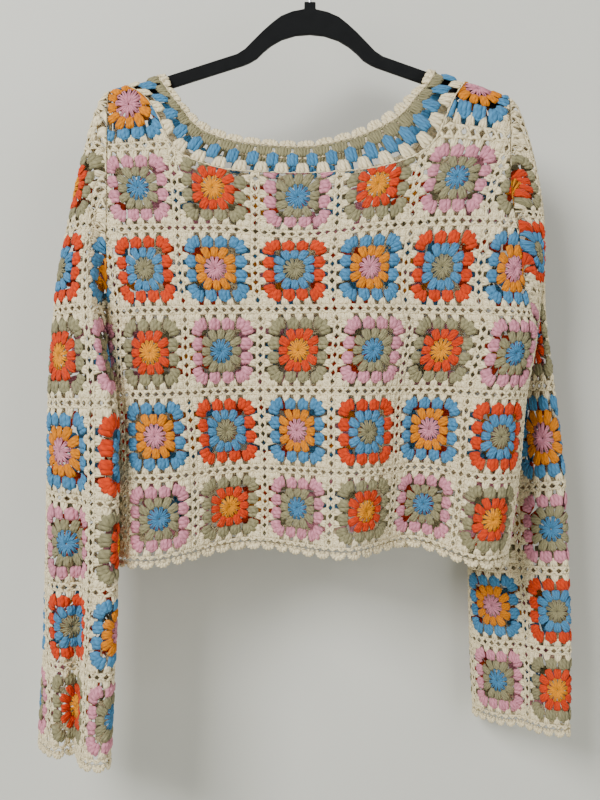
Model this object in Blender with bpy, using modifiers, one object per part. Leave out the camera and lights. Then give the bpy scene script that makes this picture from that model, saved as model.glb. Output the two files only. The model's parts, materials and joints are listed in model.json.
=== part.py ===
"""A cropped sweater made of small crocheted squares, hung on a slim velvet hanger.

Metres, +Z up, the front faces -Y. The origin is inside the top of the hanger's hook.
Tables are in millimetres. A row of squares is counted down from the top of the first
whole row, so the fold of the shoulder lies at a negative row.
"""
import math

import bmesh
import bpy
import numpy as np

MM = 0.001
WALL = 0.0024               # thickness of the crocheted cloth
SEWN = 0.0014               # from edge to edge of two joined walls, 0.3 mm at their corners
BAND_SEWN = 0.0016          # the same at the neck band, whose wall leans on the panel's
HEM_ROW = 5.0               # rows of squares down the body
SHOULDER_ROW = -0.55        # where the cloth folds over the hanger
UNDERARM_ROW = 2.2
SLEEVE_ROWS = 7.0
EDGING = 0.010              # height of the shell edging at hem and cuffs
SHELL_DROP = 0.004          # how far a shell's tip hangs below its corners
HEM_SHELLS = 32             # shells along the front, and again along the back
CUFF_SHELLS = 22            # shells round a cuff
SHELL_STEPS = 3
EDGING_GAP = 0.0008         # between a straight edge and its edging

ARM_START = 0.083           # where the hanger's straight arm begins, from the middle
ARM_END = 0.2223            # half the hanger's length
ARM_START_TOP = -0.1224     # height of the arm's top edge there
ARM_SLOPE = 0.337
SLOPE_FROM = 210.0          # millimetres from the middle where a row has its own height
ARM_DEPTH = 0.0140
HANGER_TILT = 0.017         # the hanger's right end hangs a little lower
BAR_THICK = 0.0054
BAR_ROUNDING = 0.0009
NUB_HALF = 0.0065
NUB_TOP = -0.0620
WIRE = 0.0036               # diameter of the hook's wire
HOOK_RADIUS = 0.0208        # to the middle of the wire
SHANK_IN_BAR = 0.0110
BORE_CLEAR = 0.0003

BODY_COLUMNS = ("row", "height", "slope", "left", "right", "front", "back", "side",
                "edge", "folds")
# height of the row, its share of the hanger's slope, its side edges, how far front and
# back bulge past the side, the half gap at the side, the edge's shape, and the folds
BODY = (
    (-0.55, -163.4, 1.00, -225.7, 223.4, 0.0, 0.0, 0.35, 1.6, 0.0),
    (-0.50, -163.9, 1.00, -226.0, 223.8, 0.0, 0.0, 4.60, 1.6, 0.0),
    (-0.43, -166.5, 1.00, -226.4, 224.3, 1.0, 1.0, 8.00, 1.6, 0.0),
    (-0.28, -179.0, 0.90, -227.0, 224.6, 3.0, 3.0, 11.0, 1.6, 0.0),
    (0.00, -229.0, 0.10, -227.0, 224.0, 13.0, 12.0, 14.0, 1.6, 0.0),
    (0.50, -277.0, 0.00, -227.0, 224.0, 18.0, 16.0, 16.0, 1.6, 1.0),
    (1.00, -323.6, 0.00, -227.0, 232.0, 20.0, 18.0, 18.0, 1.6, 3.0),
    (1.60, -379.0, 0.00, -227.0, 239.0, 26.0, 24.0, 14.0, 1.4, 7.0),
    (2.00, -416.0, 0.00, -227.0, 249.0, 33.0, 30.0, 9.00, 1.0, 10.0),
    (2.20, -434.5, 0.00, -228.0, 257.0, 40.0, 36.0, 0.35, 0.8, 11.0),
    (2.50, -461.5, 0.00, -229.0, 253.0, 39.0, 37.0, 0.35, 0.6, 13.0),
    (3.00, -506.2, 0.00, -229.5, 244.5, 38.0, 37.0, 0.35, 0.6, 17.0),
    (4.00, -595.3, 0.00, -229.5, 236.0, 37.0, 37.0, 0.35, 0.6, 23.0),
    (5.00, -680.0, 0.00, -229.0, 223.5, 36.0, 37.0, 0.35, 0.6, 28.0),
)
FOLD_COLUMNS = ("place", "push", "drop")
# place across the cloth, push away from the eye as a share of the folds, drop of the hem
FRONT_FOLDS = (
    (0.00, 0.0, 9.0),
    (0.11, -1.0, 8.0),
    (0.36, 1.0, -6.0),
    (0.59, -0.8, -2.0),
    (0.75, 1.0, -8.0),
    (0.93, -0.9, 9.0),
    (1.00, 0.0, 8.0),
)
BACK_FOLDS = (
    (0.00, 0.0, 9.0),
    (0.14, 0.7, 6.0),
    (0.33, -0.8, -2.0),
    (0.52, 0.9, 3.0),
    (0.70, -0.7, -4.0),
    (0.88, 0.8, 5.0),
    (1.00, 0.0, 8.0),
)
NECK_COLUMNS = ("place", "row", "inner_x", "inner_z", "inner_y")
# the sewn edge as a place across the cloth and a row; the scalloped edge in millimetres
NECK = (
    (0.0380, -0.55, -165.3, -145.5, 0.35),
    (0.0400, -0.50, -163.5, -145.6, 4.6),
    (0.0480, -0.42, -159.4, -151.0, 8.5),
    (0.0780, -0.29, -149.7, -169.0, 13.0),
    (0.1230, -0.14, -134.5, -188.8, 17.0),
    (0.1970, 0.16, -112.1, -207.4, 19.0),
    (0.3240, 0.34, -69.5, -220.6, 20.0),
    (0.4820, 0.38, -11.4, -225.4, 20.0),
    (0.6170, 0.34, 41.1, -215.0, 20.0),
    (0.7650, 0.15, 83.7, -193.4, 19.0),
    (0.8430, -0.14, 106.4, -173.9, 16.0),
    (0.8790, -0.33, 121.5, -159.6, 12.0),
    (0.8900, -0.44, 130.0, -146.0, 8.5),
    (0.8935, -0.50, 132.2, -140.3, 4.6),
    (0.8950, -0.55, 133.4, -139.9, 0.35),
)
BAND_REPEATS = 20           # clusters along the band's front, and again along its back
BAND_ROWS = (0.0, 0.04, 0.24, 0.34, 0.58, 0.80, 1.0)
BAND_GAP_ROWS = (1, 3)      # rows of the band whose gaps are cut through
GAP_SHARE = 0.40            # a gap's share of one repeat along the band
BAND_PLAIN_REPEATS = 2      # repeats over the hanger's arm that stay whole

SLEEVE_COLUMNS = ("row", "outer_x", "outer_y", "outer_z", "inner_x", "inner_y", "inner_z",
                  "depth", "pleat")
# the outer and inner lines of a sleeve, its half depth and the pleat along its front
LEFT_SLEEVE = (
    (0.0, -226.0, 0.0, -171.0, -226.0, 0.0, -436.0, 18.0, 0.0),
    (1.0, -268.0, 6.0, -282.0, -225.0, -36.0, -461.0, 24.0, 0.0),
    (2.0, -293.0, 14.0, -408.5, -214.0, -55.0, -499.0, 28.0, 3.0),
    (3.0, -301.5, 20.0, -515.0, -208.0, -60.0, -545.0, 30.0, 8.0),
    (4.0, -303.8, 22.0, -622.0, -207.5, -62.0, -626.0, 30.0, 14.0),
    (5.0, -305.6, 22.0, -724.0, -208.6, -62.0, -718.0, 30.0, 22.0),
    (6.0, -307.9, 22.0, -811.5, -211.8, -62.0, -808.0, 30.0, 28.0),
    (7.0, -313.0, 22.0, -904.0, -216.0, -62.0, -899.0, 30.0, 30.0),
)
RIGHT_SLEEVE = (
    (0.0, 224.0, 0.0, -177.0, 257.0, 0.0, -436.0, 18.0, 0.0),
    (1.0, 266.0, 10.0, -302.0, 263.0, 38.0, -462.0, 20.0, 0.0),
    (2.0, 272.0, 22.0, -402.0, 246.0, 84.0, -500.0, 20.0, 3.0),
    (3.0, 285.7, 30.0, -504.0, 228.0, 102.0, -545.0, 21.0, 7.0),
    (4.0, 299.5, 34.0, -613.0, 212.0, 106.0, -628.0, 22.0, 12.0),
    (5.0, 303.6, 34.0, -714.0, 202.0, 106.0, -722.0, 23.0, 14.0),
    (6.0, 306.0, 34.0, -808.0, 203.5, 104.0, -812.0, 24.0, 14.0),
    (7.0, 304.8, 34.0, -900.0, 207.0, 102.0, -900.0, 24.0, 14.0),
)
PLEAT_PLACE = 0.52          # where the pleat lies between the outer and inner lines
PLEAT_WIDTH = 0.13
SLEEVE_REACH = 0.030        # how far the sleeve runs straight on from the armhole
ARMHOLE_BLEND = 1.15        # rows over which the armhole's shape turns into the tube's

PANEL_SIDES = (0.0, 0.006, 0.020, 0.142, 0.852, 0.925, 0.955, 0.980, 0.994, 1.0)
PANEL_ROWS = 15
PANEL_TOP_ROWS = (0.0, 0.009, 0.024)    # shares of the way down, close under the neck
PANEL_CROWDING = 1.25       # above 1, a panel's rows lie closer near the neck
NECK_CURVE = (5, 10)        # rows of the neck's table between which it needs more columns
NECK_HALVES = ((3, 4), (4, 5), (10, 11))
SLEEVE_CELLS = 22
SLEEVE_RINGS = (0.0, 0.04, 0.16, 0.34, 0.56, 0.8, 1.1, 1.45, 1.85, 2.3, 2.8, 3.3, 3.8,
                4.3, 4.8, 5.3, 5.8, 6.4, 7.0)
SLEEVE_CUT = 3.3            # the right sleeve is two nodes, which meet at this row
CUT_GAP = 0.0120             # rows between them, 1.1 mm
LATTICE_STEPS = 200


def table(columns, rows):
    """Return the table's columns by name, as arrays."""
    values = np.array(rows, dtype=float)
    return {name: values[:, i] for i, name in enumerate(columns)}


def through(places, values, at):
    """Read a smooth curve through a table's values, with no swing past any of them."""
    secants = np.diff(values) / np.diff(places)
    product = secants[:-1] * secants[1:]
    total = np.where(product > 0, secants[:-1] + secants[1:], 1.0)
    inner = np.where(product > 0, 2.0 * product / total, 0.0)
    slopes = np.concatenate((secants[:1], inner, secants[-1:]))
    at = np.clip(at, places[0], places[-1])
    i = np.clip(np.searchsorted(places, at, side="right") - 1, 0, len(places) - 2)
    step = places[i + 1] - places[i]
    t = (at - places[i]) / step
    rise = values[i + 1] - values[i]
    start = slopes[i] * step
    end = slopes[i + 1] * step
    return values[i] + t * start + t * t * (3 * rise - 2 * start - end) \
        + t ** 3 * (start + end - 2 * rise)


def smooth_step(t):
    t = np.clip(t, 0.0, 1.0)
    return t * t * (3.0 - 2.0 * t)


def even_along(points, count):
    """Space points evenly along a line given by many points."""
    lengths = np.linalg.norm(np.diff(points, axis=0), axis=1)
    along = np.concatenate(([0.0], np.cumsum(lengths)))
    wanted = np.linspace(0.0, along[-1], count)
    return np.stack([np.interp(wanted, along, points[:, k]) for k in range(3)], axis=1)


class Lattice:
    """A surface read from a fine net of points, at any row and any place across."""

    def __init__(self, rows, points):
        self.rows = rows
        self.points = points

    def at(self, row, place):
        row, place = np.broadcast_arrays(np.asarray(row, float), np.asarray(place, float))
        high = self.points.shape[0] - 1
        wide = self.points.shape[1] - 1
        down = np.clip(np.interp(row, self.rows, np.arange(high + 1)), 0, high - 1e-9)
        over = np.clip(place, 0.0, 1.0) * wide
        i = np.minimum(down.astype(int), high - 1)
        j = np.minimum(over.astype(int), wide - 1)
        a = (down - i)[..., None]
        b = (over - j)[..., None]
        net = self.points
        upper = net[i, j] * (1 - b) + net[i, j + 1] * b
        lower = net[i + 1, j] * (1 - b) + net[i + 1, j + 1] * b
        return upper * (1 - a) + lower * a


def body_lattice(facing):
    """Shape the front (facing -1) or the back (facing 1), place running left to right."""
    body = table(BODY_COLUMNS, BODY)
    folds = table(FOLD_COLUMNS, FRONT_FOLDS if facing < 0 else BACK_FOLDS)
    bulge = body["front"] if facing < 0 else body["back"]
    turn = np.linspace(0.0, math.pi, LATTICE_STEPS)
    across = (1.0 - np.cos(turn)) / 2.0
    push = through(folds["place"], folds["push"], across)
    drop = through(folds["place"], folds["drop"], across)
    rows = np.linspace(SHOULDER_ROW, HEM_ROW, LATTICE_STEPS)
    net = []
    for row in rows:
        def value(name):
            return float(through(body["row"], body[name], np.array([row]))[0])
        depth = float(through(body["row"], bulge, np.array([row]))[0])
        x = value("left") + (value("right") - value("left")) * across
        y = facing * (value("side") + depth * np.sin(turn) ** value("edge"))
        y = y + value("folds") * push
        slope = ARM_SLOPE * (np.abs(x) - SLOPE_FROM) + HANGER_TILT * x
        hang = np.clip(row / HEM_ROW, 0.0, 1.0) ** 2
        z = value("height") - value("slope") * slope - hang * drop
        net.append(even_along(np.stack([x, y, z], axis=1) * MM, LATTICE_STEPS))
    return Lattice(rows, np.array(net))


def neck_row(place):
    """Row at which the neck band is sewn on, at a place across the cloth."""
    neck = table(NECK_COLUMNS, NECK)
    place = np.asarray(place, float)
    inside = (place > neck["place"][0]) & (place < neck["place"][-1])
    return np.where(inside, through(neck["place"], neck["row"], place), SHOULDER_ROW)


def armhole(front, back, side):
    """Points round an armhole and the way on from them, from the shoulder by the front."""
    rows = np.linspace(SHOULDER_ROW, UNDERARM_ROW, LATTICE_STEPS)
    edge = 0.0 if side < 0 else 1.0
    inward = 0.02 if side < 0 else 0.98
    rings = []
    for panel, order in ((front, 1), (back, -1)):
        points = panel.at(rows, edge)
        way = points - panel.at(rows, inward)
        way /= np.linalg.norm(way, axis=1)[:, None]
        rings.append((points[::order], way[::order]))
    points = np.concatenate([rings[0][0], rings[1][0]])
    ways = np.concatenate([rings[0][1], rings[1][1]])
    lengths = np.linalg.norm(np.diff(points, axis=0), axis=1)
    along = np.concatenate(([0.0], np.cumsum(lengths)))
    return along / along[-1], points, ways


def tube_ring(sleeve, row):
    """One ring of a hanging sleeve, from its outer line by the front and back again."""
    def value(name):
        return float(through(sleeve["row"], sleeve[name], np.array([row]))[0])
    turn = np.linspace(0.0, 2.0 * math.pi, 2 * LATTICE_STEPS)
    share = (1.0 - np.cos(turn)) / 2.0
    outer = np.array([value("outer_x"), value("outer_y"), value("outer_z")])
    inner = np.array([value("inner_x"), value("inner_y"), value("inner_z")])
    points = outer + (inner - outer) * share[:, None]
    half = np.abs(np.sin(turn)) ** 0.8 * np.sign(np.sin(turn))
    groove = np.exp(-((share - PLEAT_PLACE) / PLEAT_WIDTH) ** 2)
    front_side = np.sin(turn) > 0
    points[:, 1] += -value("depth") * half + np.where(front_side, value("pleat") * groove, 0.0)
    return even_along(points * MM, 2 * LATTICE_STEPS)


def sleeve_lattice(rows_table, front, back, side):
    """Shape a sleeve from its armhole to its cuff, place running once round it."""
    sleeve = table(SLEEVE_COLUMNS, rows_table)
    along, points, ways = armhole(front, back, side)
    around = np.linspace(0.0, 1.0, 2 * LATTICE_STEPS)
    start = np.stack([np.interp(around, along, points[:, k]) for k in range(3)], axis=1)
    way = np.stack([np.interp(around, along, ways[:, k]) for k in range(3)], axis=1)
    start[-1] = start[0] = (start[0] + start[-1]) / 2.0
    way[-1] = way[0] = (way[0] + way[-1]) / 2.0
    rows = np.linspace(0.0, SLEEVE_ROWS, LATTICE_STEPS)
    net = []
    for row in rows:
        reach = SEWN + SLEEVE_REACH * row
        turned = smooth_step(row / ARMHOLE_BLEND)
        net.append((start + way * reach) * (1 - turned) + tube_ring(sleeve, row) * turned)
    return Lattice(rows, np.array(net))


def clear_parts():
    for thing in list(bpy.data.objects):
        bpy.data.objects.remove(thing, do_unlink=True)


def material(name, colour, roughness):
    made = bpy.data.materials.new(name)
    made.use_nodes = True
    shader = made.node_tree.nodes["Principled BSDF"]
    shader.inputs["Base Color"].default_value = (*colour, 1.0)
    shader.inputs["Roughness"].default_value = roughness
    return made


def add_object(name, mesh, finish, collection):
    thing = bpy.data.objects.new(name, mesh)
    mesh.materials.append(finish)
    collection.objects.link(thing)
    return thing


def cloth_sheet(name, grid, closed, missing, finish, collection):
    """Make a wall of cloth from a net of points, leaving out the missing cells."""
    build = bmesh.new()
    high, wide = grid.shape[0], grid.shape[1]
    corners = [[build.verts.new(point) for point in line] for line in grid]
    cells = wide if closed else wide - 1
    for i in range(high - 1):
        for j in range(cells):
            if (i, j) in missing:
                continue
            k = (j + 1) % wide
            build.faces.new((corners[i][j], corners[i + 1][j], corners[i + 1][k],
                             corners[i][k]))
    loose = [vert for vert in build.verts if not vert.link_faces]
    bmesh.ops.delete(build, geom=loose, context="VERTS")
    mesh = bpy.data.meshes.new(name)
    build.to_mesh(mesh)
    build.free()
    mesh.shade_smooth()
    thing = add_object(name, mesh, finish, collection)
    wall = thing.modifiers.new("wall", "SOLIDIFY")
    wall.thickness = WALL
    wall.offset = 0.0
    return thing


def panel(name, lattice, finish, collection):
    """Front or back: its top edge follows the neck, its foot the hem."""
    neck = table(NECK_COLUMNS, NECK)["place"]
    between = [np.linspace(neck[i], neck[i + 1], 5)[1:-1] for i in range(*NECK_CURVE)]
    halves = [(neck[i] + neck[j]) / 2.0 for i, j in NECK_HALVES]
    places = np.sort(np.concatenate((PANEL_SIDES, neck, halves, *between)))
    tops = neck_row(places)
    down = np.linspace(0.0, 1.0, PANEL_ROWS + 1) ** PANEL_CROWDING
    down = np.concatenate((PANEL_TOP_ROWS, down[2:]))
    rows = tops[None, :] + (HEM_ROW - tops[None, :]) * down[:, None]
    grid = lattice.at(rows, np.broadcast_to(places, rows.shape))
    return cloth_sheet(name, grid, False, set(), finish, collection)


def sleeve(name, lattice, rings, finish, collection):
    around = np.arange(SLEEVE_CELLS) / SLEEVE_CELLS
    rows = np.array(rings)[:, None] + np.zeros(SLEEVE_CELLS)
    grid = lattice.at(rows, np.broadcast_to(around, rows.shape))
    return cloth_sheet(name, grid, True, set(), finish, collection)


def band_edges(lattice, facing):
    """The neck band's sewn and scalloped edges, and how far along it each table row is."""
    neck = table(NECK_COLUMNS, NECK)
    dense = np.linspace(0.0, 1.0, LATTICE_STEPS)
    index = np.arange(len(neck["place"])) / (len(neck["place"]) - 1.0)
    dense = np.unique(np.concatenate((dense, index)).round(9))
    place = through(index, neck["place"], dense)
    sewn = lattice.at(neck_row(place), place)
    free = np.stack([through(index, neck["inner_x"], dense),
                     facing * through(index, neck["inner_y"], dense),
                     through(index, neck["inner_z"], dense)], axis=1) * MM
    middle = (sewn + free) / 2.0
    lengths = np.linalg.norm(np.diff(middle, axis=0), axis=1)
    run = np.concatenate(([0.0], np.cumsum(lengths)))
    run /= run[-1]
    onward = np.gradient(sewn, axis=0)
    onward /= np.maximum(np.linalg.norm(onward, axis=1), 1e-9)[:, None]
    square = np.linalg.norm(np.cross(free - sewn, onward), axis=1)
    sewn = sewn + (free - sewn) * (BAND_SEWN / square)[:, None]
    return run, sewn, free, np.interp(index, dense, run)


def band_grid(edges, along, shares):
    """Points of the neck band: along it, and from the sewn to the scalloped edge."""
    run, sewn, free, _ = edges
    sewn = np.stack([np.interp(along, run, sewn[:, k]) for k in range(3)], axis=1)
    free = np.stack([np.interp(along, run, free[:, k]) for k in range(3)], axis=1)
    return sewn[None] + (free - sewn)[None] * shares[:, None, None]


def neck_band(name, lattice, facing, finish, collection):
    """Half the neck band, with its two rows of gaps cut through."""
    steps = []
    for repeat in range(BAND_REPEATS):
        steps += [repeat, repeat + 1.0 - GAP_SHARE]
    along = np.array(steps + [BAND_REPEATS]) / BAND_REPEATS
    edges = band_edges(lattice, facing)
    marks = edges[3]
    along = np.sort(np.concatenate((along, marks[1:4], marks[-4:-1])))
    grid = band_grid(edges, along, np.array(BAND_ROWS))
    missing = set()
    for j in range(len(along) - 1):
        middle = (along[j] + along[j + 1]) / 2.0 * BAND_REPEATS
        clear_of_arm = BAND_PLAIN_REPEATS < middle < BAND_REPEATS - BAND_PLAIN_REPEATS
        if clear_of_arm and middle % 1.0 > 1.0 - GAP_SHARE:
            missing.update((row, j) for row in BAND_GAP_ROWS)
    return cloth_sheet(name, grid, False, missing, finish, collection)


def shell_edging(name, line, closed, shells, finish, collection):
    """A round of small shells hanging from a line of points along the cloth's edge."""
    count = shells * SHELL_STEPS
    along = np.arange(count + (0 if closed else 1)) / count
    share = np.linspace(0.0, 1.0, len(line))
    top = np.stack([np.interp(along, share, line[:, k]) for k in range(3)], axis=1)
    top[:, 2] -= EDGING_GAP
    swell = np.abs(np.sin(along * shells * math.pi))
    foot = top.copy()
    foot[:, 2] -= EDGING - SHELL_DROP + SHELL_DROP * swell
    grid = np.stack([top, foot])
    return cloth_sheet(name, grid, closed, set(), finish, collection)


def sloped(x, height):
    """Lower a height of the hanger by the hanger's tilt."""
    return height - HANGER_TILT * x


def bar_outline():
    """Half outline of the hanger's bar, from the middle of its top to the middle below."""
    end = ARM_START_TOP - ARM_SLOPE * (ARM_END - ARM_START)
    half = [(NUB_HALF, NUB_TOP), (NUB_HALF, NUB_TOP - 0.0080), (0.0200, -0.0728),
            (0.0330, -0.0783), (0.0433, -0.0863), (0.0540, -0.0960), (0.0650, -0.1072),
            (0.0740, -0.1165), (ARM_START, ARM_START_TOP),
            (ARM_END - 0.004, end + 0.0012), (ARM_END, end - 0.0035),
            (ARM_END, end - ARM_DEPTH + 0.0035), (ARM_END - 0.005, end - ARM_DEPTH + 0.0008),
            (0.0760, ARM_START_TOP - 0.0128), (0.0690, -0.1322), (0.0604, -0.1271),
            (0.0530, -0.1195), (0.0439, -0.1120), (0.0320, -0.1050), (0.0170, -0.1002)]
    return half


def hanger_bar(finish, collection, cutters):
    half = bar_outline()
    outline = half + [(0.0, -0.0986)] + [(-x, z) for x, z in reversed(half)]
    curve = bpy.data.curves.new("hanger_bar", "CURVE")
    curve.dimensions = "2D"
    curve.fill_mode = "BOTH"
    curve.extrude = BAR_THICK / 2.0
    spline = curve.splines.new("POLY")
    spline.points.add(len(outline) - 1)
    for point, (x, z) in zip(spline.points, outline):
        point.co = (x, sloped(x, z), 0.0, 1.0)
    spline.use_cyclic_u = True
    drawn = bpy.data.objects.new("bar_outline", curve)
    drawn.rotation_euler = (math.pi / 2.0, 0.0, 0.0)
    collection.objects.link(drawn)
    bpy.context.view_layer.update()
    seen = drawn.evaluated_get(bpy.context.evaluated_depsgraph_get())
    mesh = bpy.data.meshes.new_from_object(seen)
    mesh.name = "hanger_bar"
    build = bmesh.new()
    build.from_mesh(mesh)
    bmesh.ops.remove_doubles(build, verts=build.verts, dist=0.00001)
    build.to_mesh(mesh)
    build.free()
    mesh.materials.clear()
    bar = add_object("hanger_bar", mesh, finish, collection)
    bar.matrix_world = drawn.matrix_world
    bpy.data.objects.remove(drawn)
    rounding = bar.modifiers.new("rounding", "BEVEL")
    rounding.width = BAR_ROUNDING
    rounding.segments = 2
    rounding.angle_limit = math.radians(60.0)
    bore = bpy.data.meshes.new("hook_bore")
    build = bmesh.new()
    bmesh.ops.create_cone(build, cap_ends=True, segments=20, radius1=WIRE / 2 + BORE_CLEAR,
                          radius2=WIRE / 2 + BORE_CLEAR, depth=2.0 * SHANK_IN_BAR)
    build.to_mesh(bore)
    build.free()
    cutter = bpy.data.objects.new("hook_bore", bore)
    cutter.location = (0.0, 0.0, NUB_TOP)
    cutter.hide_render = True
    cutter.display_type = "WIRE"
    cutters.objects.link(cutter)
    cut = bar.modifiers.new("bore", "BOOLEAN")
    cut.operation = "DIFFERENCE"
    cut.object = cutter
    return bar


def hanger_hook(finish, collection):
    """The hook: a shank in the bar, a bend to one side and an arc over the rail."""
    middle = WIRE / 2.0 - HOOK_RADIUS
    points = [(0.0, NUB_TOP - SHANK_IN_BAR + BORE_CLEAR), (0.0, -0.0560)]
    points += [(0.0012, -0.0505), (0.0050, -0.0458), (0.0105, -0.0415)]
    for step in range(23):
        angle = math.radians(-38.0 + step * 11.0)
        points.append((HOOK_RADIUS * math.cos(angle), middle + HOOK_RADIUS * math.sin(angle)))
    curve = bpy.data.curves.new("hanger_hook", "CURVE")
    curve.dimensions = "3D"
    curve.bevel_depth = WIRE / 2.0
    curve.bevel_resolution = 2
    curve.use_fill_caps = True
    spline = curve.splines.new("POLY")
    spline.points.add(len(points) - 1)
    for point, (x, z) in zip(spline.points, points):
        point.co = (x, 0.0, z, 1.0)
    hook = bpy.data.objects.new("hanger_hook", curve)
    curve.materials.append(finish)
    collection.objects.link(hook)
    return hook


def main():
    clear_parts()
    parts = bpy.data.collections.new("sweater_on_hanger")
    cutters = bpy.data.collections.new("cutters")
    bpy.context.scene.collection.children.link(parts)
    bpy.context.scene.collection.children.link(cutters)
    cotton = material("cream_cotton", (0.74, 0.68, 0.55), 0.9)
    sage = material("sage_cotton", (0.33, 0.31, 0.20), 0.9)
    velvet = material("black_velvet", (0.012, 0.014, 0.017), 0.95)
    steel = material("grey_wire", (0.55, 0.55, 0.56), 0.35)
    steel.node_tree.nodes["Principled BSDF"].inputs["Metallic"].default_value = 1.0

    front = body_lattice(-1)
    back = body_lattice(1)
    panel("front", front, cotton, parts)
    panel("back", back, cotton, parts)
    neck_band("neck_band_front", front, -1, sage, parts)
    neck_band("neck_band_back", back, 1, sage, parts)
    for name, rows, side in (("left", LEFT_SLEEVE, -1), ("right", RIGHT_SLEEVE, 1)):
        shape = sleeve_lattice(rows, front, back, side)
        if side < 0:
            sleeve("sleeve_left", shape, SLEEVE_RINGS, cotton, parts)
        else:
            upper = [ring for ring in SLEEVE_RINGS if ring < SLEEVE_CUT]
            lower = [ring for ring in SLEEVE_RINGS if ring > SLEEVE_CUT]
            sleeve("sleeve_right_upper", shape, upper + [SLEEVE_CUT - CUT_GAP / 2.0],
                   cotton, parts)
            sleeve("sleeve_right_lower", shape, [SLEEVE_CUT + CUT_GAP / 2.0] + lower,
                   cotton, parts)
        cuff = shape.at(SLEEVE_ROWS, np.linspace(0.0, 1.0, LATTICE_STEPS))
        shell_edging("cuff_edging_" + name, cuff, True, CUFF_SHELLS, cotton, parts)
    across = np.linspace(0.0, 1.0, LATTICE_STEPS)
    hem = np.concatenate((front.at(HEM_ROW, across), back.at(HEM_ROW, across[::-1])))
    shell_edging("hem_edging", hem, True, 2 * HEM_SHELLS, cotton, parts)
    hanger_bar(velvet, parts, cutters)
    hanger_hook(steel, parts)


main()
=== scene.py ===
"""A cropped sweater of crocheted granny squares on a slim velvet hanger.

Metres, +Z up, the front faces -Y. Tables are in millimetres unless they say otherwise.
Every stitch is one bent tube of yarn. The stitches of a square are laid out flat, as
shares of the square's side, and then laid on the shape of the hanging cloth.
"""
import json
import math

import bpy
import numpy as np
from bpy.props import FloatProperty, FloatVectorProperty, IntProperty, PointerProperty
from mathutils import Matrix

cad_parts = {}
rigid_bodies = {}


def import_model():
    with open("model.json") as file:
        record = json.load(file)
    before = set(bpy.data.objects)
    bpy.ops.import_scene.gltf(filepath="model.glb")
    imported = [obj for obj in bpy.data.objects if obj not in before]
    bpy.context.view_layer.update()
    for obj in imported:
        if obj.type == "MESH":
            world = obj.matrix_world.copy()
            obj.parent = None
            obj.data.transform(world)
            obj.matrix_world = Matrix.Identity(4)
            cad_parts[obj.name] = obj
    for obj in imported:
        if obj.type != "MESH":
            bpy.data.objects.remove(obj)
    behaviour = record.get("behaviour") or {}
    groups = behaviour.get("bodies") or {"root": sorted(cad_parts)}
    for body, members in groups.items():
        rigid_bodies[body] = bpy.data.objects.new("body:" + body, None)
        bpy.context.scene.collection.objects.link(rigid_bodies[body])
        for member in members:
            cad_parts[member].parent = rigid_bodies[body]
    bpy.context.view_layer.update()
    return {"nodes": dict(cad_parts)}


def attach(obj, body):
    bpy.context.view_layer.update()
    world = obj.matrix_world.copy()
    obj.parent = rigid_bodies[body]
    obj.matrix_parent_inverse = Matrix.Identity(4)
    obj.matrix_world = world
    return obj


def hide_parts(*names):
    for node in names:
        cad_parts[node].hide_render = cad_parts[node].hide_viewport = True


bl_info = {
    "name": "Granny Square Sweater",
    "version": (1, 0, 0),
    "blender": (4, 5, 0),
    "location": "3D View > Sidebar > Sweater",
    "description": "Crochets a granny-square sweater and hangs it on its hanger",
    "category": "Mesh",
}

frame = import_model()

MM = 0.001
SEWN = 0.0014
HEM_ROW = 5.0
SHOULDER_ROW = -0.55
UNDERARM_ROW = 2.2
SLEEVE_ROWS = 7.0
SLEEVE_SEAM = 0.6           # place of a sleeve's seam, behind its inner line
SLEEVE_COLUMNS_LAID = range(-4, 3)
LEVEL_ROWS = 3.0            # above this row the squares of a sleeve lie level
EDGING = 0.010
EDGING_GAP = 0.0008
HEM_SHELLS = 32
CUFF_SHELLS = 22
BAND_REPEATS = 20
ARM_SLOPE = 0.337
SLOPE_FROM = 210.0          # millimetres from the middle
HANGER_TILT = 0.017
PLEAT_PLACE = 0.52
PLEAT_WIDTH = 0.13
SLEEVE_REACH = 0.030
ARMHOLE_BLEND = 1.15
LATTICE_STEPS = 200
BAND_LINES = 9              # lines of points across the neck band
NEAR_EDGE = 0.02            # place from which the cloth's way on at its edge is taken
TUBE_FULLNESS = 0.8         # below 1, a sleeve's section is fuller than an ellipse

BODY_COLUMNS = ("row", "height", "slope", "left", "right", "front", "back", "side",
                "edge", "folds")
BODY = (
    (-0.55, -163.4, 1.00, -225.7, 223.4, 0.0, 0.0, 0.35, 1.6, 0.0),
    (-0.50, -163.9, 1.00, -226.0, 223.8, 0.0, 0.0, 4.60, 1.6, 0.0),
    (-0.43, -166.5, 1.00, -226.4, 224.3, 1.0, 1.0, 8.00, 1.6, 0.0),
    (-0.28, -179.0, 0.90, -227.0, 224.6, 3.0, 3.0, 11.0, 1.6, 0.0),
    (0.00, -229.0, 0.10, -227.0, 224.0, 13.0, 12.0, 14.0, 1.6, 0.0),
    (0.50, -277.0, 0.00, -227.0, 224.0, 18.0, 16.0, 16.0, 1.6, 1.0),
    (1.00, -323.6, 0.00, -227.0, 232.0, 20.0, 18.0, 18.0, 1.6, 3.0),
    (1.60, -379.0, 0.00, -227.0, 239.0, 26.0, 24.0, 14.0, 1.4, 7.0),
    (2.00, -416.0, 0.00, -227.0, 249.0, 33.0, 30.0, 9.00, 1.0, 10.0),
    (2.20, -434.5, 0.00, -228.0, 257.0, 40.0, 36.0, 0.35, 0.8, 11.0),
    (2.50, -461.5, 0.00, -229.0, 253.0, 39.0, 37.0, 0.35, 0.6, 13.0),
    (3.00, -506.2, 0.00, -229.5, 244.5, 38.0, 37.0, 0.35, 0.6, 17.0),
    (4.00, -595.3, 0.00, -229.5, 236.0, 37.0, 37.0, 0.35, 0.6, 23.0),
    (5.00, -680.0, 0.00, -229.0, 223.5, 36.0, 37.0, 0.35, 0.6, 28.0),
)
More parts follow.
